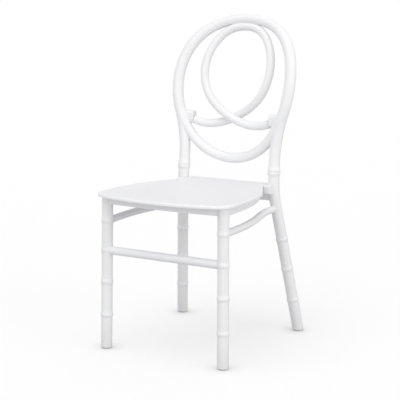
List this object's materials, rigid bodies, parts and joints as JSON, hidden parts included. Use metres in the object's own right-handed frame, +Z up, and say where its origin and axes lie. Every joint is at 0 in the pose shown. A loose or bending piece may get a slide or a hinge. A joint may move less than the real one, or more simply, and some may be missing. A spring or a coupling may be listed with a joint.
{
  "type": "dining chair",
  "caption": "White resin dining chair with bamboo-ringed legs, an oval hoop back and an interlaced loop inside it.",
  "frame": {"origin": "on the floor, under the centre of the chair's bounding box", "axes": "+Z up, the sitter faces -Y, +X to the right of someone who looks at the front, X = 0 is the plane of symmetry"},
  "size_m": [0.4312, 0.5412, 0.9199],
  "materials": {
    "resin": "satin moulded resin",
    "block": "matt moulded resin",
    "steel": "zinc plated",
    "glide": "matt nylon",
    "dowel": "plain beech"
  },
  "bodies": {
    "root": {"seat_panel": "resin", "front_rail": "resin", "rear_rail": "resin", "side_rail_left": "resin", "side_rail_right": "resin", "front_leg_left": "resin", "front_leg_right": "resin", "rear_leg_left": "resin", "rear_leg_right": "resin", "back_hoop": "resin", "back_loop": "resin", "front_stretcher": "resin", "side_brace_left": "resin", "side_brace_right": "resin", "corner_block_front_left": "block", "corner_block_front_right": "block", "corner_block_rear_left": "block", "corner_block_rear_right": "block", "leg_bolts": "steel", "leg_washers": "steel", "leg_nuts": "steel", "seat_screws": "steel", "loop_pins": "steel", "foot_glides": "glide", "post_dowels": "dowel"}
  },
  "joints": []
}
